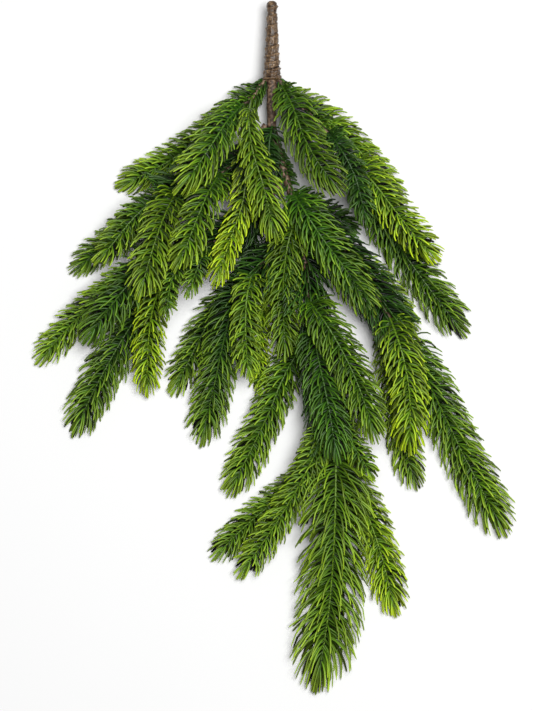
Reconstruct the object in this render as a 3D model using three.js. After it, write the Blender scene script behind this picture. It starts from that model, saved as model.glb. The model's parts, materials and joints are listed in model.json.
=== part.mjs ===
// An artificial spruce spray, lying flat on a table with its taped handle at the back.
// Stems fork from the handle and carry moulded needle sprigs. Each sprig is one closed solid that reaches
// its needle tips. The sprigs are laid down one after another, from the table up, and each one comes to
// rest on those below it. Units are millimetres, +Z is up, and the origin is under the middle of the spray.
import * as THREE from "three";

// Driving dimensions
const HANDLE_LENGTH = 72;
const HANDLE_END_RADIUS = 4.8;
const HANDLE_FORK_RADIUS = 8.1;
const HANDLE_END_DROP = 4; // how much lower the cut end lies than the fork
const STEM_HEIGHT = 27; // from the table to the middle of every stem
const STEM_END_RADIUS = 1.8;
const STEM_CHAMFER = 0.7;
const NECK_RADIUS = 1.8;
const SPRIG_FLATNESS = 0.46; // height over width
const SPRIG_TAPER = 0.12; // width lost from the stem to the tip
const FLARE = 1.1; // the usual flare and tip, in spreads, and the most they take of the sprig's length
const LONGEST_FLARE = 0.35;
const TIP = 1.5;
const LONGEST_TIP = 0.5;
const TABLE_PRESS = 0.84; // the share of a sprig's lower half that is left where it is pressed to the table
const SAG_RADIUS = 110; // the tightest bend of a sprig that sags over another
const CONTACT_GAP = 0.4;
const LAYING_GAP = 1.4;

// How finely the shapes are divided
const SPRIG_SIDES = 10;
const STEM_SIDES = 8;
const HANDLE_SIDES = 14;
const SAMPLE_STEP = 3;
const STEM_RING_STEP = 18;
const MIDDLE_RING_STEP = 32;
const NECK_RING = 2; // distance from the stem
const FLARE_RING = 0.45; // share of the flare
const TIP_RINGS = [0.5, 0.8, 0.96]; // shares of the tip
const STACKING_STEPS = 12;
const STEP_OFF_STEPS = 200;

const MATERIALS = {
  tape: { color: 0x5b4130, roughness: 0.75 },
  bark: { color: 0x6b4a35, roughness: 0.8 },
  deep: { color: 0x1d4a20, roughness: 0.45 },
  mid: { color: 0x2f6420, roughness: 0.45 },
  olive: { color: 0x47701a, roughness: 0.45 },
  light: { color: 0x5a8a25, roughness: 0.45 },
  yellow: { color: 0x86a81c, roughness: 0.45 },
};

// Stems: [radius at the start, [x, y] points from the handle outwards]. The middle of the cut end is [0, 0].
const STEMS = {
  main: [4.4, [[0, -72.5], [0, -112], [8, -144], [16, -170], [25, -204], [31, -245], [33, -282]]],
  leader: [2.8, [[33, -284], [41, -323], [50, -364], [56, -405]]],
  upper_left: [2.6, [[-7.4, -72.5], [-14, -83], [-29, -96]]],
  upper_right: [2.6, [[7.4, -72.5], [19, -90], [41, -109], [61, -130], [76, -149]]],
  left: [2.8, [[-3, -107], [-23, -138], [-51, -157], [-78, -168], [-104, -177]]],
  lower_left: [2.8, [[11, -158], [-9, -184], [-33, -205], [-65, -222], [-94, -232], [-119, -238]]],
  centre_left: [2.6, [[22, -194], [7, -218], [-9, -235], [-27, -254]]],
  right: [2.8, [[18, -172], [36, -190], [58, -216], [80, -247], [99, -274], [114, -297]]],
};
const STEMS_AT_FORK = ["main", "leader", "upper_left", "upper_right"];

// Sprigs, from the lowest to the highest: [stem, number on that stem, tone, side of the stem, spread, route],
// and a flare if it isn't the usual one. The spread is how far the needles reach to each side. The route runs
// from the stem to the last needle, and the flare is how much of it the sprig needs to reach its full spread.
const SPRIGS_BELOW = [
  ["upper_left", 1, "deep", "under", 17, [[-11, -77], [-32, -95], [-60, -120], [-98, -145], [-142, -167]]],
  ["left", 1, "mid", "under", 16, [[-97, -175], [-128, -200], [-155, -222], [-183, -244]]],
  ["lower_left", 1, "deep", "under", 21, [[-94, -233], [-112, -266], [-138, -308], [-162, -352], [-180, -392]]],
  ["lower_left", 2, "deep", "under", 12, [[-9, -184], [-20, -212], [-26, -242]]],
  ["centre_left", 1, "olive", "under", 17, [[-22, -249], [-48, -274], [-68, -308], [-91, -355]]],
  ["centre_left", 2, "yellow", "under", 11, [[5, -221], [-7, -265], [-11, -310], [-11, -356]]],
  ["right", 1, "deep", "under", 13, [[23, -177], [52, -188], [80, -208]]],
  ["right", 2, "deep", "under", 16, [[66, -226], [98, -254], [130, -302]]],
  ["upper_right", 1, "mid", "under", 16, [[14, -82], [50, -105], [84, -139], [120, -186]]],
  ["right", 3, "olive", "under", 17, [[106, -285], [108, -325], [114, -378], [131, -440]]],
  ["leader", 1, "olive", "under", 19, [[36, -300], [16, -325], [-4, -371], [-41, -446]]],
  ["leader", 2, "deep", "under", 16, [[51, -372], [34, -420], [0, -450], [-30, -476], [-55, -503]]],
  ["leader", 3, "light", "under", 19, [[56, -402], [77, -440], [97, -492], [112, -554]]],
];
const SPRIGS_ABOVE = [
  ["right", 4, "mid", "end", 22, [[115, -299], [144, -350], [174, -410], [212, -482]]],
  ["upper_right", 2, "deep", "end", 20, [[77, -150], [96, -190], [130, -241], [176, -302]]],
  ["lower_left", 3, "olive", "end", 16, [[-121, -239], [-143, -257], [-173, -282], [-214, -326]]],
  ["lower_left", 4, "yellow", "over", 16, [[-84, -229], [-103, -264], [-111, -308], [-112, -356]]],
  ["lower_left", 5, "deep", "over", 20, [[-112, -236], [-129, -256], [-148, -280], [-169, -309]]],
  ["lower_left", 6, "light", "over", 10, [[-79, -227], [-91, -254], [-93, -287]]],
  ["lower_left", 7, "light", "over", 11, [[-59, -220], [-68, -245], [-76, -268]]],
  ["centre_left", 3, "deep", "end", 20, [[-29, -256], [-40, -290], [-50, -335], [-65, -401]]],
  ["leader", 4, "light", "side", 16, [[51, -372], [33, -416], [7, -462], [-32, -519]]],
  ["leader", 5, "light", "side", 13, [[50, -364], [72, -396], [92, -430]]],
  ["leader", 6, "deep", "end", 31, [[57, -408], [56, -465], [52, -537], [39, -623]], 75],
  ["main", 1, "deep", "over", 13, [[0, -113], [-3, -137], [4, -166]]],
  ["main", 2, "olive", "over", 18, [[22, -193], [13, -222], [10, -262], [12, -324]]],
  ["leader", 7, "deep", "over", 19, [[36, -294], [43, -330], [51, -368], [58, -415]]],
  ["right", 5, "deep", "over", 19, [[19, -173], [39, -206], [66, -242], [92, -284]]],
  ["centre_left", 4, "yellow", "over", 15, [[-18, -244], [-23, -269], [-23, -308], [-20, -341]]],
  ["main", 3, "light", "over", 19, [[32, -267], [54, -299], [74, -339], [94, -396]]],
  ["right", 6, "yellow", "over", 19, [[105, -284], [114, -312], [122, -353], [122, -408]]],
  ["left", 2, "light", "end", 16, [[-106, -178], [-122, -193], [-140, -215], [-159, -238]]],
  ["left", 3, "light", "over", 19, [[-85, -170], [-97, -198], [-108, -233], [-118, -271]]],
  ["left", 4, "light", "over", 18, [[-47, -155], [-61, -183], [-72, -213], [-86, -246]]],
  ["left", 5, "yellow", "over", 15, [[-23, -139], [-24, -173], [-35, -209], [-53, -259]]],
  ["upper_left", 2, "light", "over", 20, [[-26, -93], [-44, -116], [-61, -144], [-87, -177]]],
  ["upper_left", 3, "light", "over", 18, [[-18, -88], [-21, -120], [-10, -160], [5, -220]]],
  ["upper_right", 3, "yellow", "over", 17, [[73, -145], [100, -176], [120, -204], [151, -234]]],
  ["upper_right", 4, "deep", "over", 13, [[50, -119], [70, -152], [85, -205]]],
  ["upper_right", 5, "light", "over", 19, [[9, -77], [21, -104], [34, -138], [64, -178]]],
];

function planCurve(points) {
  const corners = points.map(([x, y]) => new THREE.Vector3(x, y, 0));
  return new THREE.CatmullRomCurve3(corners, false, "centripetal");
}

// The outline of a sprig: a thin neck, a flare to its full spread, a long taper and a round tip.
function sprigShape(length, spread, flare = FLARE * spread) {
  const flareEnd = Math.min(flare, LONGEST_FLARE * length);
  const tipStart = length - Math.min(TIP * spread, LONGEST_TIP * length);
  const opening = (s) => Math.sin((Math.PI / 2) * Math.min(1, s / flareEnd));
  const reach = (s) => {
    const intoTip = Math.max(0, (s - tipStart) / (length - tipStart));
    const swelling = NECK_RADIUS + (spread - NECK_RADIUS) * opening(s);
    return swelling * (1 - (SPRIG_TAPER * s) / length) * Math.sqrt(Math.max(0, 1 - intoTip ** 2));
  };
  return { flareEnd, tipStart, opening, reach };
}

function stemReach(s, length, radius) {
  return radius + (STEM_END_RADIUS - radius) * (s / length);
}

// The upper half of a section: how high it is at x from its middle. A sprig is a lens, thin at both edges
// where only the needle tips are, and a stem is round.
function edgeHeight(sample, x) {
  const level = Math.max(0, 1 - (x / sample.wide) ** 2);
  return sample.high * (sample.lens ? level : Math.sqrt(level));
}

// A piece along a plan route, with the height of its axis left open.
function pieceAlong(curve, reach, lens) {
  const length = curve.getLength();
  const count = Math.ceil(length / SAMPLE_STEP);
  const samples = [];
  for (let i = 0; i <= count; i += 1) {
    const s = (length * i) / count;
    const { x, y } = curve.getPointAt(i / count);
    const wide = reach(s);
    samples.push({ s, x, y, z: 0, wide, high: lens ? wide * SPRIG_FLATNESS : wide, lens });
  }
  return { curve, length, samples, lens, reach };
}

// The least height between the axes of two stacked sections whose middles are some distance apart.
function stackingHeight(distance, low, high) {
  const from = Math.max(-low.wide, distance - high.wide);
  const to = Math.min(low.wide, distance + high.wide);
  if (from >= to) {
    return -Infinity;
  }
  let tallest = -Infinity;
  for (let i = 0; i <= STACKING_STEPS; i += 1) {
    const x = from + ((to - from) * i) / STACKING_STEPS;
    tallest = Math.max(tallest, edgeHeight(low, x) + edgeHeight(high, distance - x));
  }
  return tallest;
}

// Lays a sprig on the table and on the pieces already there, and bends it no tighter than the sag radius.
function layDown(sprig, placed, neckHeight, opening) {
  const needed = sprig.samples.map((sample) => {
    let z = TABLE_PRESS * sample.high;
    for (const other of placed) {
      for (const low of other.samples) {
        const distance = Math.hypot(sample.x - low.x, sample.y - low.y);
        if (distance < sample.wide + low.wide) {
          z = Math.max(z, low.z + stackingHeight(distance, low, sample) + LAYING_GAP);
        }
      }
    }
    return z;
  });
  for (const sample of sprig.samples) {
    sample.z = Math.max(...sprig.samples.map((o, j) => needed[j] - (sample.s - o.s) ** 2 / (2 * SAG_RADIUS)));
  }
  const lift = neckHeight - sprig.samples[0].z;
  for (const sample of sprig.samples) {
    sample.z += lift * (1 - opening(sample.s));
  }
}

function heightAt(piece, s) {
  const place = (s / piece.length) * (piece.samples.length - 1);
  const i = Math.min(Math.floor(place), piece.samples.length - 2);
  return THREE.MathUtils.lerp(piece.samples[i].z, piece.samples[i + 1].z, place - i);
}

// The distance from a plan point to a stem's centre line, and the stem's sample there.
function nearestOn(stem, x, y) {
  let best = { distance: Infinity };
  for (const sample of stem.samples) {
    const distance = Math.hypot(sample.x - x, sample.y - y);
    if (distance < best.distance) {
      best = { distance, sample };
    }
  }
  return best;
}

// Drops the start of a route, where it is still inside the stem or closer to it than the clearance.
function stepOff(points, stem, clearance) {
  const isClear = ([x, y]) => {
    const { distance, sample } = nearestOn(stem, x, y);
    return distance >= sample.wide + clearance;
  };
  const route = planCurve(points).getSpacedPoints(STEP_OFF_STEPS).map(({ x, y }) => [x, y]);
  return [route.find(isClear), ...points.slice(1).filter(isClear)];
}

// A turned solid bent along the piece's route: profile is [distance along, radius] pairs.
function bendAlong(piece, profile, sides) {
  const outline = profile.map(([s, radius]) => new THREE.Vector2(radius, s));
  const geometry = new THREE.LatheGeometry(outline, sides, Math.PI / sides);
  const places = geometry.getAttribute("position");
  for (let i = 0; i < places.count; i += 1) {
    const s = THREE.MathUtils.clamp(places.getY(i), 0, piece.length);
    const centre = piece.curve.getPointAt(s / piece.length);
    const along = piece.curve.getTangentAt(s / piece.length);
    const side = places.getX(i);
    const reach = Math.hypot(side, places.getZ(i)) || 1;
    const lensHeight = (SPRIG_FLATNESS * places.getZ(i) * Math.abs(places.getZ(i))) / reach;
    const up = piece.lens ? lensHeight : places.getZ(i);
    const z = Math.max(0, heightAt(piece, s) + up);
    places.setXYZ(i, centre.x + along.y * side, centre.y - along.x * side, z);
  }
  geometry.computeVertexNormals();
  return geometry;
}

function evenly(from, to, step) {
  const count = Math.max(1, Math.round((to - from) / step));
  return Array.from({ length: count + 1 }, (_, i) => from + ((to - from) * i) / count);
}

function sprigGeometry(sprig, { flareEnd, tipStart }) {
  const { length } = sprig;
  const rings = [
    NECK_RING,
    FLARE_RING * flareEnd,
    ...evenly(flareEnd, tipStart, MIDDLE_RING_STEP),
    ...TIP_RINGS.map((part) => tipStart + (length - tipStart) * part),
  ];
  const profile = [[0, 0], ...rings.map((s) => [s, sprig.reach(s)]), [length, 0]];
  return bendAlong(sprig, profile, SPRIG_SIDES);
}

function stemGeometry(stem) {
  const rings = evenly(STEM_CHAMFER, stem.length - STEM_CHAMFER, STEM_RING_STEP);
  const profile = [[0, 0], ...rings.map((s) => [s, stem.reach(s)]), [stem.length, 0]];
  return bendAlong(stem, profile, STEM_SIDES);
}

// The handle: stem ends bound in tape, with a collar at the cut end, swelling towards the fork.
// The tube's points are [share of the length, share of the swelling from the cut end to the fork].
function handleGeometry() {
  const cutEnd = [[0, 0], [0.4, 0.5 * HANDLE_END_RADIUS], [2, 0.85 * HANDLE_END_RADIUS]];
  const tube = [
    [0.07, 0.05],
    [0.14, -0.33],
    [0.21, 0.02],
    [0.29, -0.08],
    [0.36, 0.12],
    [0.65, 0.36],
    [0.81, 0.6],
    [0.92, 0.8],
    [0.98, 1],
  ].map(([part, swelling]) => [
    HANDLE_LENGTH * part,
    THREE.MathUtils.lerp(HANDLE_END_RADIUS, HANDLE_FORK_RADIUS, swelling),
  ]);
  const forkEnd = [[HANDLE_LENGTH - 0.3, 0.9 * HANDLE_FORK_RADIUS], [HANDLE_LENGTH, 0]];
  const profile = [...cutEnd, ...tube, ...forkEnd];
  const handle = pieceAlong(planCurve([[0, 0], [0, -HANDLE_LENGTH]]), () => HANDLE_END_RADIUS, false);
  for (const sample of handle.samples) {
    sample.z = STEM_HEIGHT - HANDLE_END_DROP * (1 - sample.s / HANDLE_LENGTH);
  }
  return bendAlong(handle, profile, HANDLE_SIDES);
}

function meshOf(name, geometry, finish) {
  const material = new THREE.MeshStandardMaterial({ ...MATERIALS[finish], metalness: 0 });
  const mesh = new THREE.Mesh(geometry, material);
  mesh.name = name;
  return mesh;
}

function makeStems() {
  const stems = {};
  for (const [name, [radius, points]] of Object.entries(STEMS)) {
    const atFork = STEMS_AT_FORK.includes(name);
    const curve = planCurve(atFork ? points : stepOff(points, stems.main, radius + CONTACT_GAP));
    const stem = pieceAlong(curve, (s) => stemReach(s, curve.getLength(), radius), false);
    for (const sample of stem.samples) {
      sample.z = STEM_HEIGHT;
    }
    stems[name] = stem;
  }
  return stems;
}

function makeSprig([stemName, number, tone, side, spread, points, flare], stems, placed) {
  const stem = stems[stemName];
  const start = nearestOn(stem, ...points[0]).sample;
  const rise = { over: 1, under: -1, side: 0, end: 0 }[side];
  const neckHeight = start.z + rise * (start.high + NECK_RADIUS * SPRIG_FLATNESS + CONTACT_GAP);
  const curve = planCurve(rise === 0 ? stepOff(points, stem, NECK_RADIUS + CONTACT_GAP) : points);
  const shape = sprigShape(curve.getLength(), spread, flare);
  const sprig = pieceAlong(curve, shape.reach, true);
  layDown(sprig, placed, neckHeight, shape.opening);
  placed.push(sprig);
  return meshOf(`${stemName}_sprig_${number}`, sprigGeometry(sprig, shape), tone);
}

function makeSpray() {
  const spray = new THREE.Group();
  const stems = makeStems();
  const placed = [];
  for (const row of SPRIGS_BELOW) {
    spray.add(makeSprig(row, stems, placed));
  }
  placed.push(...Object.values(stems));
  for (const row of SPRIGS_ABOVE) {
    spray.add(makeSprig(row, stems, placed));
  }
  for (const [name, stem] of Object.entries(stems)) {
    spray.add(meshOf(`${name}_stem`, stemGeometry(stem), "bark"));
  }
  spray.add(meshOf("taped_handle", handleGeometry(), "tape"));
  return spray;
}

// Moves the spray so that the origin is under the middle of its box, with its lowest face at z = 0.
function centred(spray) {
  const box = new THREE.Box3().setFromObject(spray);
  const middle = box.getCenter(new THREE.Vector3());
  spray.position.set(-middle.x, -middle.y, -box.min.z);
  spray.updateMatrixWorld(true);
  return spray;
}

export default centred(makeSpray());
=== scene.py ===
"""The looks of an artificial spruce spray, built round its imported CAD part. Lengths are in metres."""

import json
import math

import bpy
import numpy as np
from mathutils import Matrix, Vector


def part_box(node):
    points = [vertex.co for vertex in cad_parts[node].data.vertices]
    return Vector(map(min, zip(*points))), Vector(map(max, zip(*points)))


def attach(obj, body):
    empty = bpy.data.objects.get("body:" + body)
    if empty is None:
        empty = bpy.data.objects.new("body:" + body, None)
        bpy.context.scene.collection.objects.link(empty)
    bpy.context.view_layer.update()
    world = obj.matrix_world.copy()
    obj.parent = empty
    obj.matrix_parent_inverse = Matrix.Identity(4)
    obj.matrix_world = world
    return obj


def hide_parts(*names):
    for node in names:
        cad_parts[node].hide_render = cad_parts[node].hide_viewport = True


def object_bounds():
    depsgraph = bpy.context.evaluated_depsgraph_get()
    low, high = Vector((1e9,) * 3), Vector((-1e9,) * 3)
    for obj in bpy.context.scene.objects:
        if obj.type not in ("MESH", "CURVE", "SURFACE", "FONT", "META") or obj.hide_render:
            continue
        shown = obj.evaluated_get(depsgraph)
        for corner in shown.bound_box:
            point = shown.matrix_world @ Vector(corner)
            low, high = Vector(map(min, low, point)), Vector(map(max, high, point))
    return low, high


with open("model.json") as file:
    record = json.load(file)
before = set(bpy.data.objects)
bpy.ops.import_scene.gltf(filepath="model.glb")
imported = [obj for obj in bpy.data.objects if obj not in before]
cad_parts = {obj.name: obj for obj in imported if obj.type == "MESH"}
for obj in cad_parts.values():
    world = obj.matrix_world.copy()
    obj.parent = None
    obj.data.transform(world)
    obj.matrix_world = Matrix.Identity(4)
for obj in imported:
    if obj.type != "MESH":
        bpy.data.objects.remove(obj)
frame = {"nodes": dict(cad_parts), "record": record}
CAD_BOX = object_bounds()
NODE_SLOTS = {part["node"]: part["material_slot"] for part in frame["record"]["subparts"]}

# Sizes, as shares of the spray's length
SPRAY_LENGTH = CAD_BOX[1].y - CAD_BOX[0].y
NEEDLE_RADIUS = SPRAY_LENGTH * 0.00128
NEEDLE_PITCH = SPRAY_LENGTH * 0.0094  # the usual step from one needle to the next along a rank
USUAL_SPREAD = SPRAY_LENGTH * 0.026  # half the width of a usual sprig
STEM_NEEDLE_REACH = SPRAY_LENGTH * 0.038
UNDER_NEEDLES_STOP = SPRAY_LENGTH * 0.034  # how far before the last needle a rank with full painted shade would stop
TWIG_RADIUS = SPRAY_LENGTH * 0.0019
CURVE_STEP = SPRAY_LENGTH * 0.0016
TABLE_CLEARANCE = 2.3 * NEEDLE_RADIUS  # of a needle's middle line

# The ranks of needles on each side of a twig: degrees above level, reach in spreads, length in needle
# lengths, its painted shade (how much darker than the top rank it is painted, for the shade that the
# ranks above cast on it), and its pitch in needle pitches
RANKS = np.array(
    [
        (-62, 0.38, 0.60, 0.82, 0.85),
        (-45, 0.55, 0.72, 0.78, 0.85),
        (-28, 0.74, 0.86, 0.66, 0.90),
        (-13, 0.93, 0.97, 0.42, 1.30),
        (3, 1.00, 1.00, 0.14, 1.30),
        (18, 0.95, 0.98, 0.00, 1.35),
        (34, 0.78, 0.86, 0.00, 1.35),
        (54, 0.54, 0.66, 0.05, 1.40),
    ]
)
RANK_DEGREES, RANK_REACH, RANK_LENGTH, RANK_PAINTED_SHADE, RANK_PITCH = RANKS.T
RANK_STAGGER = 0.38  # of a pitch, from one rank to the next
SIDE_STAGGER = 0.25  # of a pitch, on each side of the twig

# A needle's shape
NEEDLE_STATIONS = np.array([0.0, 0.22, 0.5, 0.76, 0.95, 1.0])  # along a needle
NEEDLE_PROFILE = np.array([0.90, 1.0, 0.98, 0.88, 0.66, 0.0])  # its thickness there
NEEDLE_SIDES = 5
NEEDLE_BOW = 0.50
OUTWARD_BOW = 1.3  # how much more a needle bows outwards than back
NEEDLE_LENGTH = 1.27  # in a sprig's spreads, for a sprig of the usual spread
LENGTH_POWER = 0.25  # how much faster than their sprig's spread needles grow
CLOSED_NEEDLE_LENGTH = 0.35  # of the full length, where a sprig hasn't opened
TIP_NEEDLE_LENGTH = 0.55  # at a sprig's tip, in its other needles' lengths
TIP_SHORTENING_POWER = 1.5
NEEDLE_OVERREACH = 1.10  # of the CAD sprig's spread, before chance changes it
UNDER_NEEDLES_EXTRA = 1.0  # how much thicker a needle with full painted shade would be
LEAST_AHEAD = 0.25  # how far forward a needle leans at least, in its lengths
MOST_OUT = 0.93  # how far out it stands at most, in its lengths
SPAN_HALVINGS = 14
CORE_END_GAP = 0.30  # from a twig's end to its sprig's tip, in spreads
FIRST_NEEDLE = 0.2  # from the start of the twig's needles, in needle pitches
STEM_NEEDLE_LIFT = 24  # degrees, so that they cover the stem
STEM_OPENING = (0.35, 0.25)  # the share of their reach that the first have, and what each reach adds

# How much needles differ from each other
SEED = 41
ROOT_JITTER = 0.10  # of a pitch
LEAN_JITTER = 0.11  # radians
REACH_RANGE = (0.86, 1.05)
LENGTH_RANGE = (0.9, 1.06)
BOW_RANGE = (0.5, 1.4)
THICKNESS_RANGE = (0.85, 1.12)

# A twig and its bud, in twig radii
TWIG_SIDES = 8
TWIG_STATIONS = 40
TWIG_TAPER = 0.45
BUD_SWELLING = 0.75
BUD_SETBACK = 1.6
BUD_HALF_LENGTH = 1.5
TWIG_TONE = 0.5  # the place along a needle whose green the twig has

# The bake map
MAP_COLUMNS = 24
CELL_MARGIN = 0.04

# The corners of a ring in the CAD solids
SPRIG_SIDES_IN_CAD = 10
STEM_SIDES_IN_CAD = 8
HANDLE_SIDES_IN_CAD = 14

# Stems and handle
STEM_SIDES = 14
STEM_STEP = 1.2 * CURVE_STEP
STEM_LET_IN = 3 * TWIG_RADIUS  # into the piece that it grows from
KNOB_HEIGHT = 0.05  # of the stem's radius
KNOB_SPIRAL = 2.6 * TWIG_RADIUS  # along the stem for a radian of turn
CROSSED_KNOB_SPIRAL = 1.9 * TWIG_RADIUS
HANDLE_SIDES = 72
HANDLE_STEP = 0.5 * CURVE_STEP
TAPE_WRAPS = 9

# The tape's relief: height in handle radii, then middle and half width in wraps
TAPE_RIDGE = (0.12, 0.25, 0.16)
TAPE_GROOVE = (-0.15, 0.08, 0.07)
TAPE_CROSSING = (-0.15, 7.5, 0.08)

# Linear colours of the plastic needles. The darkest two, shade and night, are painted shade for needles
# deep in the pile and under other sprigs
GREENS = {
    "shade": (0.012, 0.036, 0.005),
    "night": (0.030, 0.082, 0.008),
    "deep": (0.047, 0.113, 0.008),
    "pine": (0.065, 0.165, 0.010),
    "mid": (0.076, 0.160, 0.008),
    "olive": (0.102, 0.175, 0.006),
    "light": (0.136, 0.235, 0.012),
    "lime": (0.195, 0.315, 0.014),
    "yellow": (0.315, 0.455, 0.010),
}

# What a needle's green is multiplied by, from its root to its end: painted shade at the root, where the
# twig and the needles around it shade it, and at the end a paler tip that is partly the plastic's own and
# partly a painted highlight. The bluer root and yellower end are the plastic's own tint
ROOT_SHADE_TO_END_HIGHLIGHT = [
    (0.0, (0.20, 0.28, 0.30)),
    (0.25, (0.60, 0.78, 0.80)),
    (0.6, (0.98, 1.0, 1.0)),
    (0.85, (1.34, 1.26, 1.2)),
    (1.0, (1.9, 1.7, 1.6)),
]

# How far a needle's green has turned from the base green to the tip green: what a whole sprig's length, a
# needle's length and chance add, and where the turn starts
TURN_ALONG_SPRIG = 0.65
TURN_ALONG_NEEDLE = 0.38
TURN_BY_CHANCE = 0.10
TURN_START = 0.30

# A needle's brightness: its middle, and how much chance and mottling change it
MIDDLE_BRIGHTNESS = 0.96
BRIGHTNESS_BY_CHANCE = 0.42
NEEDLE_MOTTLE = 0.5
NEEDLE_MOTTLE_SCALE = 90.0

# Linear colours of the bark and the tape, from the darkest of their mottling to the palest, and what the
# tape's speckle and its relief multiply them by. The relief's factor is painted light on the raised wrap
# edges and painted shade in the grooves
BARK_BROWNS = [(0.38, (0.030, 0.015, 0.008)), (0.50, (0.095, 0.052, 0.028)), (0.64, (0.24, 0.155, 0.095))]
TAPE_BROWNS = [(0.36, (0.058, 0.031, 0.014)), (0.50, (0.105, 0.062, 0.030)), (0.64, (0.185, 0.120, 0.066))]
TAPE_SPECKLE = [(0.38, (0.45, 0.42, 0.40)), (0.62, (1.6, 1.6, 1.6))]
TAPE_RELIEF_LIGHT_AND_SHADE = [(0.15, (0.20, 0.18, 0.16)), (0.45, (0.85, 0.85, 0.85)), (0.9, (1.3, 1.3, 1.3))]
TAPE_RELIEF_GAIN = 3.0  # from the tape's relief to a place in TAPE_RELIEF_LIGHT_AND_SHADE

# The studio, in metres
FLOOR_HALF_WIDTH = 3.0
FLOOR_GREY = 0.80
WORLD_STRENGTH = 0.12
SOFTBOX_WATTS = 136
SOFTBOX_SIZE = 1.5
SOFTBOX_PLACE = Vector((0.55, 0.4, 3.2))

# The camera: its lens and sensor in millimetres, and its aim and view in spray lengths
LENS = 135
SENSOR_HEIGHT = 36
CLIP_END = 10  # metres
AIM_FROM_CUT_END = Vector((-0.008, -0.509, 0))
VIEW_HALF_HEIGHT = 0.507

# Each sprig's green near the stem and at its tip, matched to each sprig as it lies in the lit spray, so
# besides the sprig's own green they hold painted shade, darker for sprigs under others and deep in the
# pile, and painted light, paler for sprigs on top
SPRIG_GREENS = {
    "upper_left_sprig_1": ("mid", "lime"),
    "upper_left_sprig_2": ("pine", "lime"),
    "upper_left_sprig_3": ("olive", "lime"),
    "left_sprig_1": ("deep", "light"),
    "left_sprig_2": ("mid", "lime"),
    "left_sprig_3": ("olive", "lime"),
    "left_sprig_4": ("mid", "lime"),
    "left_sprig_5": ("shade", "yellow"),
    "lower_left_sprig_1": ("night", "light"),
    "lower_left_sprig_2": ("shade", "night"),
    "lower_left_sprig_3": ("light", "lime"),
    "lower_left_sprig_4": ("olive", "yellow"),
    "lower_left_sprig_5": ("night", "mid"),
    "lower_left_sprig_6": ("deep", "light"),
    "lower_left_sprig_7": ("night", "light"),
    "centre_left_sprig_1": ("night", "lime"),
    "centre_left_sprig_2": ("lime", "yellow"),
    "centre_left_sprig_3": ("night", "light"),
    "centre_left_sprig_4": ("light", "lime"),
    "main_sprig_1": ("night", "shade"),
    "main_sprig_2": ("olive", "light"),
    "main_sprig_3": ("mid", "light"),
    "upper_right_sprig_1": ("lime", "lime"),
    "upper_right_sprig_2": ("deep", "light"),
    "upper_right_sprig_3": ("light", "yellow"),
    "upper_right_sprig_4": ("night", "deep"),
    "upper_right_sprig_5": ("mid", "olive"),
    "right_sprig_1": ("shade", "deep"),
    "right_sprig_2": ("lime", "lime"),
    "right_sprig_3": ("olive", "lime"),
    "right_sprig_4": ("mid", "lime"),
    "right_sprig_5": ("pine", "light"),
    "right_sprig_6": ("light", "yellow"),
    "leader_sprig_1": ("mid", "lime"),
    "leader_sprig_2": ("light", "light"),
    "leader_sprig_3": ("light", "yellow"),
    "leader_sprig_4": ("light", "lime"),
    "leader_sprig_5": ("deep", "lime"),
    "leader_sprig_6": ("light", "lime"),
    "leader_sprig_7": ("deep", "pine"),
}

# How far along each sprig its green has turned to the tip's green
USUAL_TURN = 0.98
TURNS = {
    "left_sprig_5": 0.66,
    "lower_left_sprig_1": 0.90,
    "lower_left_sprig_4": 0.90,
    "lower_left_sprig_5": 0.62,
    "lower_left_sprig_6": 0.80,
    "lower_left_sprig_7": 0.85,
    "centre_left_sprig_3": 0.90,
}

# Sprigs whose needles reach less or more than the others', as a share of the usual reach
REACHES = {
    "upper_left_sprig_3": 0.96,
    "upper_left_sprig_2": 0.95,
    "left_sprig_5": 0.85,
    "leader_sprig_6": 1.06,
}

# How a sprig opens from the stem: the bare share of its length, the share of its reach that its first
# needles have, and how much of it each spread of length adds
USUAL_OPENING = (0.0, 0.75, 0.5)
OPENINGS = {
    "upper_left_sprig_1": (0.0, 0.5, 0.3),
    "upper_left_sprig_2": (0.0, 0.35, 0.25),
    "upper_left_sprig_3": (0.19, 0.40, 0.15),
    "upper_right_sprig_1": (0.0, 0.5, 0.3),
    "upper_right_sprig_5": (0.0, 0.5, 0.25),
}

# Needles on the bare stems: stem, the stretch of it that carries them in its own length, their share of the
# usual reach and their greens. Their dark base greens are painted shade, where the sprigs over the stems
# shade them
STEM_NEEDLES = [
    ("main", 0.26, 0.50, 0.45, "night", "deep"),
    ("main", 0.50, 0.97, 1.0, "shade", "night"),
    ("leader", 0.0, 1.0, 1.0, "shade", "night"),
    ("upper_left", 0.0, 1.0, 0.55, "night", "mid"),
    ("upper_right", 0.0, 0.6, 0.55, "night", "mid"),
    ("left", 0.1, 1.0, 1.0, "shade", "night"),
    ("lower_left", 0.1, 1.0, 1.0, "shade", "night"),
    ("centre_left", 0.1, 1.0, 1.0, "shade", "night"),
    ("right", 0.1, 1.0, 1.0, "shade", "night"),
]


# The CAD solids' lines


def solid_rings(node, sides):
    """The rings of corners of a turned and bent CAD solid, from one end to the other."""
    mesh = frame["nodes"][node].data
    places = np.array([corner.co for corner in mesh.vertices])
    places, merged = np.unique(places.round(5), axis=0, return_inverse=True)
    merged = merged.ravel()
    beside = [set() for _ in places]
    for face in mesh.polygons:
        corners = {merged[i] for i in face.vertices}
        for corner in corners:
            beside[corner] |= corners - {corner}
    ends = [i for i, others in enumerate(beside) if len(others) == sides]
    rings, seen, ring = [], set(), {ends[0]}
    while ring:
        rings.append(places[sorted(ring)])
        seen |= ring
        ring = set().union(*(beside[i] for i in ring)) - seen
    return rings


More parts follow.
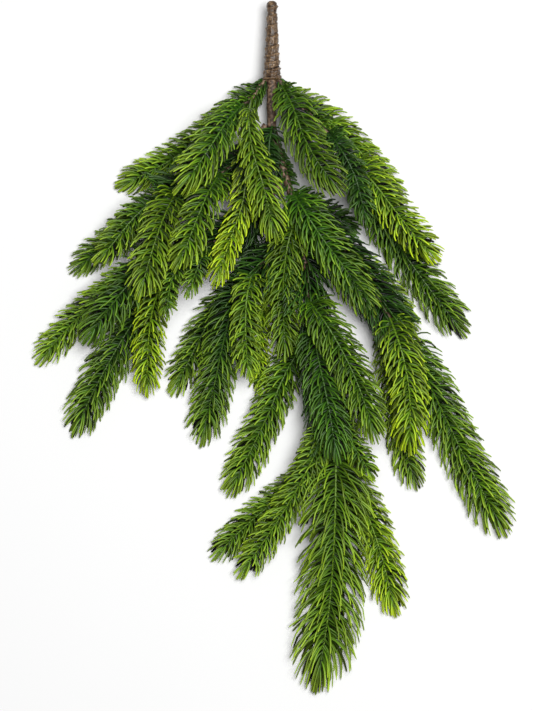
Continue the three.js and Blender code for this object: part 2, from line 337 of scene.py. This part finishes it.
def flat_ring_middle(ring):
    """The middle and half width of a sprig's ring. Its two outermost corners are level with its middle."""
    apart = np.linalg.norm(ring[:, None, :2] - ring[None, :, :2], axis=2)
    a, b = np.unravel_index(apart.argmax(), apart.shape)
    return (ring[a] + ring[b]) / 2, apart[a, b] / 2


def round_ring_middle(ring):
    middle = ring.mean(axis=0)
    return middle, np.linalg.norm(ring - middle, axis=1).max()


def solid_line(node, sides, ring_middle):
    """A CAD solid's middle line and its half width along it."""
    measured = [ring_middle(ring) for ring in solid_rings(node, sides)]
    return np.array([middle for middle, _ in measured]), np.array([reach for _, reach in measured])


def sprig_line(node):
    """A sprig's line, from its stem to its tip."""
    middles, reaches = solid_line(node, SPRIG_SIDES_IN_CAD, flat_ring_middle)
    stem = frame["nodes"][node.split("_sprig_")[0] + "_stem"].data
    corners = np.array([corner.co for corner in stem.vertices])
    gaps = [np.linalg.norm(corners - end, axis=1).min() for end in (middles[0], middles[-1])]
    if gaps[0] > gaps[1]:
        return middles[::-1], reaches[::-1]
    return middles, reaches


class SmoothLine:
    """A smooth curve through some points, with a direction, a level side and an up at each distance."""

    def __init__(self, points):
        gaps = np.linalg.norm(np.diff(points, axis=0), axis=1)
        self.knots = np.concatenate([[0], np.cumsum(gaps)])
        self.length = self.knots[-1]
        slopes = np.gradient(points, self.knots, axis=0)
        self.at = np.linspace(0, self.length, int(self.length / CURVE_STEP) + 2)
        i = np.clip(np.searchsorted(self.knots, self.at, side="right") - 1, 0, len(gaps) - 1)
        t = ((self.at - self.knots[i]) / gaps[i])[:, None]
        h = gaps[i][:, None]
        self.places = (
            (2 * t**3 - 3 * t**2 + 1) * points[i]
            + (t**3 - 2 * t**2 + t) * h * slopes[i]
            + (3 * t**2 - 2 * t**3) * points[i + 1]
            + (t**3 - t**2) * h * slopes[i + 1]
        )
        self.along = unit(np.gradient(self.places, axis=0))
        self.side = unit(np.cross(self.along, (0, 0, 1)))
        self.up = np.cross(self.side, self.along)

    def read(self, values, s):
        return np.stack([np.interp(s, self.at, values[:, k]) for k in range(3)], axis=-1)

    def place(self, s):
        """The point at a distance s, on the end's tangent past the end."""
        past = np.maximum(s - self.length, 0)[..., None]
        return self.read(self.places, s) + past * self.along[-1]


def unit(vectors):
    return vectors / np.maximum(np.linalg.norm(vectors, axis=-1, keepdims=True), 1e-12)


# Meshes


def add_object(name, data):
    made = bpy.data.objects.new(name, data)
    bpy.context.scene.collection.objects.link(made)
    return made


def smooth_object(name, corners, faces, marks, values):
    """A smooth mesh with a bake map, where marks are its face corners' places, and with named values at
    its corners."""
    mesh = bpy.data.meshes.new(name)
    mesh.from_pydata(corners, [], faces)
    mesh.shade_smooth()
    mesh.uv_layers.new(name="OFBake").data.foreach_set("uv", np.array(marks, np.float32).ravel())
    for key, value in values.items():
        layer = mesh.attributes.new(key, "FLOAT", "POINT")
        layer.data.foreach_set("value", value.astype(np.float32))
    return add_object(name, mesh)


def ring_faces(rings, sides, rows):
    """The faces between rings of corners, and each face corner's place on a map with this many rows."""
    faces, marks = [], []
    for m in range(rings - 1):
        for k in range(sides):
            a, b = m * sides + k, m * sides + (k + 1) % sides
            faces.append((a, b, b + sides, a + sides))
            low, high = m / rows, (m + 1) / rows
            left, right = k / sides, (k + 1) / sides
            marks.append([(left, low), (right, low), (right, high), (left, high)])
    return faces, marks


def tubes(centres, radii, sides, across):
    """Tubes that end in a point. centres is tube x station x 3, radii is tube x station, and across is a
    direction for each tube. Returns every tube's corners, and the faces of one tube with the places of
    their corners on its map."""
    count, stations = radii.shape
    along = unit(np.gradient(centres, axis=1))
    first = unit(np.cross(along, across[:, None, :]))
    second = np.cross(along, first)
    turn = 2 * np.pi * np.arange(sides) / sides
    ring = np.cos(turn)[:, None] * first[:, :-1, None] + np.sin(turn)[:, None] * second[:, :-1, None]
    corners = centres[:, :-1, None] + radii[:, :-1, None, None] * ring
    corners = np.concatenate([corners.reshape(count, -1, 3), centres[:, -1:]], axis=1)
    faces, marks = ring_faces(stations - 1, sides, stations - 1)
    start, low = (stations - 2) * sides, (stations - 2) / (stations - 1)
    for k in range(sides):
        faces.append((start + k, start + (k + 1) % sides, start + sides))
        marks.append([(k / sides, low), ((k + 1) / sides, low), ((k + 0.5) / sides, 1)])
    return corners, faces, marks


class MeshParts:
    """Collects tubes into one mesh with a bake map that gives each tube its own cell."""

    def __init__(self):
        self.corners, self.faces, self.marks = [], [], []
        self.values = {"along_needle": [], "along_sprig": [], "shade": [], "dimming": []}
        self.count = 0

    def add(self, made, cells, **values):
        corners, faces, marks = made
        tubes_made, each = corners.shape[:2]
        for n in range(tubes_made):
            start = self.count + n * each
            (left, low), (wide, high) = cells[n]
            self.faces += [tuple(start + i for i in face) for face in faces]
            for mark in marks:
                self.marks += [(left + wide * u, low + high * v) for u, v in mark]
        self.corners.append(corners.reshape(-1, 3))
        self.count += tubes_made * each
        for key, value in values.items():
            self.values[key].append(np.broadcast_to(value, (tubes_made, each)).ravel())

    def build(self, name):
        values = {key: np.concatenate(parts) for key, parts in self.values.items()}
        return smooth_object(name, np.concatenate(self.corners), self.faces, self.marks, values)


def map_cells(count, columns, first_row, all_rows):
    """Cells of the bake map in rows of columns, each with a margin: ((left, low), (width, height))."""
    filled = 1 - 2 * CELL_MARGIN
    cells = []
    for n in range(count):
        left = (n % columns + CELL_MARGIN) / columns
        low = (first_row + n // columns + CELL_MARGIN) / all_rows
        cells.append(((left, low), (filled / columns, filled / all_rows)))
    return cells


# Sprigs


def needle_roots(start, end, draws):
    """Where the needles leave the twig, in staggered ranks on both sides: the distance along it, the side
    (1 or -1) and the rank of each."""
    roots = []
    for rank in range(len(RANKS)):
        pitch = RANK_PITCH[rank] * NEEDLE_PITCH
        last = end - UNDER_NEEDLES_STOP * RANK_PAINTED_SHADE[rank]
        for side in (1, -1):
            stagger = pitch * ((RANK_STAGGER * rank + SIDE_STAGGER * side) % 1.0)
            along = np.arange(start + stagger, last, pitch)
            along += draws.normal(0, ROOT_JITTER * pitch, len(along))
            roots += [(s, side, rank) for s in along.clip(start, end)]
    along, side, rank = np.array(roots).T
    return along, side, rank.astype(int)


def needle_span(root, length, share, reach_at, end):
    """How far along and how far out each needle's tip is from its root, so that it ends on its share of the
    sprig's outline."""
    low = LEAST_AHEAD * length
    high = np.maximum(np.minimum(length, end - root), low)
    for _ in range(SPAN_HALVINGS):
        middle = (low + high) / 2
        out = reach_at(root + middle) * share
        too_far = middle**2 + out**2 > length**2
        high = np.where(too_far, middle, high)
        low = np.where(too_far, low, middle)
    return low, np.minimum(reach_at(root + low) * share, MOST_OUT * length)


def needle_length(spread, opening):
    """The length of the needles of a sprig that spreads this far, shorter where it has opened less."""
    usual = NEEDLE_LENGTH * spread * (spread / USUAL_SPREAD) ** LENGTH_POWER
    return usual * (CLOSED_NEEDLE_LENGTH + (1 - CLOSED_NEEDLE_LENGTH) * opening)


def sprig_needles(line, reach_at, length_at, span, draws, lift=0):
    """The needles' middle lines, the direction that each one leans in, how far along the sprig its tip is,
    and its painted shade, which darkens the lower ranks."""
    root, side, rank = needle_roots(*span, draws)
    count = len(root)
    angle = np.radians(RANK_DEGREES[rank] + lift) + draws.normal(0, LEAN_JITTER, count)
    reach = RANK_REACH[rank] * NEEDLE_OVERREACH * draws.uniform(*REACH_RANGE, count)
    length = RANK_LENGTH[rank] * length_at(root) * draws.uniform(*LENGTH_RANGE, count)
    ahead, out = needle_span(root, length, reach, reach_at, line.length)
    t = NEEDLE_STATIONS[None, :]
    bow = NEEDLE_BOW * draws.uniform(*BOW_RANGE, count)[:, None] * t * (1 - t)
    s = root[:, None] + ahead[:, None] * (t - bow)
    r = out[:, None] * (t + OUTWARD_BOW * bow)
    lean = unit(
        (side * np.cos(angle))[:, None, None] * line.read(line.side, s)
        + np.sin(angle)[:, None, None] * line.read(line.up, s)
    )
    centres = line.place(s) + r[..., None] * lean
    centres[..., 2] = np.maximum(centres[..., 2], TABLE_CLEARANCE)
    return centres, lean[:, 0], (root + ahead) / line.length, RANK_PAINTED_SHADE[rank]


def twig_and_bud(line, core_end):
    """The twig's middle line and its radius, which swells into a bud at the end."""
    t = np.linspace(0, 1, TWIG_STATIONS)
    s = t * core_end
    from_bud = (core_end - s - BUD_SETBACK * TWIG_RADIUS) / (BUD_HALF_LENGTH * TWIG_RADIUS)
    radius = TWIG_RADIUS * (1 - TWIG_TAPER * t + BUD_SWELLING * np.exp(-(from_bud**2)))
    radius[-1] = 0
    return line.place(s)[None], radius[None]


def add_needles(parts, needles, all_rows, draws):
    centres, lean, along_sprig, dimming = needles
    count = len(centres)
    thickness = draws.uniform(*THICKNESS_RANGE, (count, 1)) * (1 + UNDER_NEEDLES_EXTRA * dimming[:, None])
    radii = NEEDLE_RADIUS * NEEDLE_PROFILE * thickness
    parts.add(
        tubes(centres, radii, NEEDLE_SIDES, lean),
        map_cells(count, MAP_COLUMNS, 0, all_rows),
        along_needle=np.append(np.repeat(NEEDLE_STATIONS[:-1], NEEDLE_SIDES), 1.0),
        along_sprig=along_sprig[:, None],
        shade=draws.uniform(-1, 1, (count, 1)),
        dimming=dimming[:, None],
    )


def make_sprig(node, draws):
    points, reaches = sprig_line(node)
    line = SmoothLine(points)
    spread = reaches.max()
    widest = line.knots[reaches.argmax()]

    bare, first, slope = OPENINGS.get(node, USUAL_OPENING)
    core_start = bare * line.length + FIRST_NEEDLE * NEEDLE_PITCH
    core_end = line.length - CORE_END_GAP * spread

    def opening(s):
        return np.clip(first + slope * (s - core_start) / spread, 0, 1)

    def reach_at(s):
        """The sprig's half width, which stays full from the stem to its widest ring, times its opening."""
        half_width = np.interp(np.maximum(s, widest), line.knots, reaches)
        return REACHES.get(node, 1.0) * opening(s) * half_width

    def length_at(s):
        into_tip = np.clip(1 - (core_end - s) / spread, 0, 1) ** TIP_SHORTENING_POWER
        return needle_length(spread, opening(s)) * (1 + (TIP_NEEDLE_LENGTH - 1) * into_tip)

    needles = sprig_needles(line, reach_at, length_at, (core_start, core_end), draws)
    all_rows = math.ceil(len(needles[0]) / MAP_COLUMNS) + 1
    parts = MeshParts()
    add_needles(parts, needles, all_rows, draws)
    twig_centres, twig_radii = twig_and_bud(line, core_end)
    twig_stations = np.append(np.repeat(np.linspace(0, 1, TWIG_STATIONS)[:-1], TWIG_SIDES), 1.0)
    parts.add(
        tubes(twig_centres, twig_radii, TWIG_SIDES, np.array([[0.0, 0.0, 1.0]])),
        map_cells(1, 1, all_rows - 1, all_rows),
        along_needle=TWIG_TONE,
        along_sprig=twig_stations * core_end / line.length,
        shade=0.0,
        dimming=0.0,
    )
    return parts.build(node + "_needles")


def make_stem_needles(name, row, draws):
    """Needles along a branch stem, which fill the spray between its sprigs, in dark greens that are painted
    shade under the sprigs above them.
    """
    stem, start, end, share, base, tip = row
    line = SmoothLine(stem_line(stem + "_stem")[0])
    span = (start * line.length, end * line.length)
    reach = share * STEM_NEEDLE_REACH
    first, slope = STEM_OPENING

    def opening(s):
        return np.clip(first + slope * (s - span[0]) / reach, 0, 1)

    def reach_at(s):
        return reach * opening(s)

    def length_at(s):
        return needle_length(reach, opening(s))

    needles = sprig_needles(line, reach_at, length_at, span, draws, STEM_NEEDLE_LIFT)
    parts = MeshParts()
    add_needles(parts, needles, math.ceil(len(needles[0]) / MAP_COLUMNS), draws)
    made = parts.build(name)
    made.data.materials.append(needle_plastic(base, tip, USUAL_TURN))
    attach(made, "root")


def make_sprigs():
    draws = np.random.default_rng(SEED)
    for node, greens in SPRIG_GREENS.items():
        sprig = make_sprig(node, draws)
        sprig.data.materials.append(needle_plastic(*greens, TURNS.get(node, USUAL_TURN)))
        carry(sprig, node)
    for number, row in enumerate(STEM_NEEDLES, 1):
        make_stem_needles(f"{row[0]}_stem_needles_{number}", row, draws)


def carry(made, node):
    """Shows the made mesh in place of a CAD node."""
    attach(made, "root")
    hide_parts(node)


# Stems and handle


def bumpy_tube(name, line, reaches, sides, step, bump):
    """A tube along a line, with a radius for each of the line's knots, which closes where that is 0. bump
    gives the share of the radius to add at (distance, angle)."""
    count = max(4, int(line.length / step))
    s = np.linspace(0, line.length, count)
    angle = 2 * np.pi * np.arange(sides) / sides
    relief = bump(s[:, None], angle[None, :])
    radius = np.interp(s, line.knots, reaches)[:, None] * (1 + relief)
    side, up = line.read(line.side, s)[:, None], line.read(line.up, s)[:, None]
    around = np.cos(angle)[None, :, None] * side + np.sin(angle)[None, :, None] * up
    corners = (line.place(s)[:, None] + radius[..., None] * around).reshape(-1, 3)
    faces, marks = ring_faces(count, sides, count - 1)
    return smooth_object(name, corners, faces, marks, {"relief": relief.ravel()})


def stem_line(node):
    """A stem's line and its radii, from the handle outwards and let into the piece that it grows from."""
    points, reaches = solid_line(node, STEM_SIDES_IN_CAD, round_ring_middle)
    if reaches[1] < reaches[-2]:
        points, reaches = points[::-1], reaches[::-1]
    inwards = unit(points[0] - points[2])
    points[0] = points[1] + STEM_LET_IN * inwards
    reaches[0] = reaches[1]
    return points, reaches


def make_stem(node):
    points, reaches = stem_line(node)
    line = SmoothLine(points)

    def knobbly(s, angle):
        """Two spirals of knobs that cross."""
        return KNOB_HEIGHT * (np.sin(angle + s / KNOB_SPIRAL) + np.sin(2 * angle - s / CROSSED_KNOB_SPIRAL))

    stem = bumpy_tube(node + "_covering", line, reaches, STEM_SIDES, STEM_STEP, knobbly)
    stem.data.materials.append(bark_covering())
    carry(stem, node)


def make_stems():
    for node in NODE_SLOTS:
        if node.endswith("_stem"):
            make_stem(node)


def hump(at, height, middle, half_width):
    """The height at the middle, and almost 0 from two half widths away."""
    return height * np.exp(-(((at - middle) / half_width) ** 2))


def make_handle():
    node = "taped_handle"
    points, reaches = solid_line(node, HANDLE_SIDES_IN_CAD, round_ring_middle)
    if points[0][1] < points[-1][1]:
        points, reaches = points[::-1], reaches[::-1]
    line = SmoothLine(points)
    wrap = line.length / TAPE_WRAPS

    def taped(s, angle):
        """Wraps with a raised edge and a groove beside it, one crossing edge, and wrinkles."""
        wraps = s / wrap
        uneven = 0.07 * np.sin(3 * angle) + 0.25 * np.sin(0.9 * wraps)
        place = wraps + angle / (2 * np.pi) + uneven
        edge = hump(place % 1.0, *TAPE_RIDGE) + hump(place % 1.0, *TAPE_GROOVE)
        crossing = hump(wraps - 0.35 * np.sin(angle + 0.6), *TAPE_CROSSING)
        wrinkle = 0.03 * np.sin(9 * angle + 2.2 * place) + 0.025 * np.sin(5 * angle - 7.1 * place)
        return edge + crossing + wrinkle

    handle = bumpy_tube("handle_tape", line, reaches, HANDLE_SIDES, HANDLE_STEP, taped)
    handle.data.materials.append(bark_tape())
    carry(handle, node)


# Materials


class Nodes:
    """Short calls for building one material's nodes."""

    def __init__(self, name):
        self.material = bpy.data.materials.new(name)
        self.material.use_nodes = True
        self.tree = self.material.node_tree
        self.shader = self.tree.nodes["Principled BSDF"]

    def add(self, kind, **settings):
        node = self.tree.nodes.new("ShaderNode" + kind)
        for key, value in settings.items():
            setattr(node, key, value)
        return node

    def link(self, source, target):
        self.tree.links.new(source, target)

    def value(self, name):
        return self.add("Attribute", attribute_name=name).outputs["Fac"]

    def ramp(self, source, stops):
        ramp = self.add("ValToRGB")
        elements = ramp.color_ramp.elements
        while len(elements) < len(stops):
            elements.new(0.5)
        for element, (place, colour) in zip(elements, stops, strict=True):
            element.position = place
            element.color = (*colour, 1)
        self.link(source, ramp.inputs["Fac"])
        return ramp.outputs["Color"]

    def noise(self, scale, detail):
        place = self.add("TexCoord").outputs["Object"]
        noise = self.add("TexNoise")
        noise.inputs["Scale"].default_value = scale
        noise.inputs["Detail"].default_value = detail
        self.link(place, noise.inputs["Vector"])
        return noise.outputs["Fac"]

    def multiplied(self, a, b):
        """One colour times another. 0, 6 and 7 are a Mix node's factor and its two colours."""
        mix = self.add("Mix", data_type="RGBA", blend_type="MULTIPLY")
        mix.inputs[0].default_value = 1
        self.link(a, mix.inputs[6])
        self.link(b, mix.inputs[7])
        return mix.outputs[2]

    def maths(self, operation, a, b):
        """a is an output, and b is an output or a number."""
        node = self.add("Math", operation=operation)
        self.link(a, node.inputs[0])
        if isinstance(b, float):
            node.inputs[1].default_value = b
        else:
            self.link(b, node.inputs[1])
        return node.outputs[0]

    def bumps(self, height, strength, depth):
        bump = self.add("Bump")
        bump.inputs["Strength"].default_value = strength
        bump.inputs["Distance"].default_value = depth
        self.link(height, bump.inputs["Height"])
        self.link(bump.outputs["Normal"], self.shader.inputs["Normal"])

    def surface(self, roughness, specular=0.5):
        self.shader.inputs["Roughness"].default_value = roughness
        self.shader.inputs["Specular IOR Level"].default_value = specular
        return self.material


def needle_plastic(base, tip, turn):
    """Moulded plastic needles, which turn from the base green to the tip green along the sprig and along
    each needle, with painted shade at their roots and on the lower ranks, and a painted highlight on their
    ends."""
    name = f"needles_{base}_to_{tip}_at_{turn}"
    if name in bpy.data.materials:
        return bpy.data.materials[name]
    nodes = Nodes(name)
    along_needle, shade = nodes.value("along_needle"), nodes.value("shade")

    by_sprig = nodes.maths("MULTIPLY", nodes.value("along_sprig"), TURN_ALONG_SPRIG)
    by_needle = nodes.maths("MULTIPLY", along_needle, TURN_ALONG_NEEDLE)
    by_chance = nodes.maths("MULTIPLY", shade, TURN_BY_CHANCE)
    turned = nodes.maths("ADD", nodes.maths("ADD", by_sprig, by_needle), by_chance)
    green = nodes.ramp(turned, [(TURN_START, GREENS[base]), (turn, GREENS[tip])])
    # Painted shade at the needle's root and a painted highlight at its end
    green = nodes.multiplied(green, nodes.ramp(along_needle, ROOT_SHADE_TO_END_HIGHLIGHT))

    from_middle = nodes.maths("SUBTRACT", nodes.noise(NEEDLE_MOTTLE_SCALE, detail=3.0), 0.5)
    mottled = nodes.maths("ADD", nodes.maths("MULTIPLY", from_middle, NEEDLE_MOTTLE), MIDDLE_BRIGHTNESS)
    varied = nodes.maths("ADD", nodes.maths("MULTIPLY", shade, BRIGHTNESS_BY_CHANCE), mottled)
    # The lower ranks' painted shade is taken off the needle's brightness
    brightness = nodes.maths("SUBTRACT", varied, nodes.value("dimming"))

    tint = nodes.add("HueSaturation")
    nodes.link(green, tint.inputs["Color"])
    nodes.link(brightness, tint.inputs["Value"])
    nodes.link(tint.outputs["Color"], nodes.shader.inputs["Base Color"])
    return nodes.surface(roughness=0.40, specular=0.30)


def bark_covering():
    """The stems' moulded bark: brown, with darker pits."""
    name = "moulded_bark"
    if name in bpy.data.materials:
        return bpy.data.materials[name]
    nodes = Nodes(name)
    brown = nodes.ramp(nodes.noise(scale=420.0, detail=5.0), BARK_BROWNS)
    nodes.link(brown, nodes.shader.inputs["Base Color"])
    nodes.bumps(nodes.noise(scale=600.0, detail=4.0), strength=0.6, depth=0.0006)
    return nodes.surface(roughness=0.62)


def bark_tape():
    """Bark-printed floral tape: mottled browns, with painted light where the wraps stand out and painted
    shade in the grooves.
    """
    nodes = Nodes("wrapped_tape")
    coarse = nodes.ramp(nodes.noise(scale=260.0, detail=6.0), TAPE_BROWNS)
    fine = nodes.ramp(nodes.noise(scale=900.0, detail=4.0), TAPE_SPECKLE)
    raised = nodes.maths("MULTIPLY", nodes.value("relief"), TAPE_RELIEF_GAIN)
    # Painted light on the raised wrap edges and painted shade in the grooves, from the relief
    wraps = nodes.ramp(nodes.maths("ADD", raised, 0.5), TAPE_RELIEF_LIGHT_AND_SHADE)
    brown = nodes.multiplied(nodes.multiplied(coarse, fine), wraps)
    nodes.link(brown, nodes.shader.inputs["Base Color"])
    nodes.bumps(nodes.noise(scale=900.0, detail=5.0), strength=0.55, depth=0.0005)
    return nodes.surface(roughness=0.42)


def studio_white():
    nodes = Nodes("studio_white")
    nodes.shader.inputs["Base Color"].default_value = (FLOOR_GREY, FLOOR_GREY, FLOOR_GREY, 1)
    return nodes.surface(roughness=0.9, specular=0.1)


# Studio


def make_floor():
    far = FLOOR_HALF_WIDTH
    corners = [(-far, -far, 0), (far, -far, 0), (far, far, 0), (-far, far, 0)]
    mesh = bpy.data.meshes.new("floor")
    mesh.from_pydata(corners, [], [(0, 1, 2, 3)])
    mesh.materials.append(studio_white())
    add_object("floor", mesh)


def make_lights():
    world = bpy.data.worlds.new("studio")
    bpy.context.scene.world = world
    world.use_nodes = True
    background = world.node_tree.nodes["Background"]
    background.inputs["Strength"].default_value = WORLD_STRENGTH
    background.inputs["Color"].default_value = (1, 1, 1, 1)
    lamp = bpy.data.lights.new("softbox", "AREA")
    lamp.energy = SOFTBOX_WATTS
    lamp.size = SOFTBOX_SIZE
    softbox = add_object("softbox", lamp)
    softbox.location = SOFTBOX_PLACE
    softbox.rotation_euler = (-SOFTBOX_PLACE).to_track_quat("-Z", "Y").to_euler()


def make_camera():
    """A long lens straight above the spray. Its aim is measured from the handle's cut end."""
    low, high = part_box("taped_handle")
    cut_end = Vector(((low.x + high.x) / 2, high.y, 0))
    aim = cut_end + AIM_FROM_CUT_END * SPRAY_LENGTH
    camera = add_object("camera", bpy.data.cameras.new("camera"))
    camera.data.sensor_fit = "VERTICAL"
    camera.data.sensor_height = SENSOR_HEIGHT
    camera.data.lens = LENS
    camera.data.clip_end = CLIP_END
    rise = VIEW_HALF_HEIGHT * SPRAY_LENGTH / (SENSOR_HEIGHT / 2 / LENS)
    camera.location = (aim.x, aim.y, CAD_BOX[1].z / 2 + rise)
    bpy.context.scene.camera = camera


bpy.context.scene.view_settings.view_transform = "Standard"
make_sprigs()
make_stems()
make_handle()
make_floor()
make_lights()
make_camera()
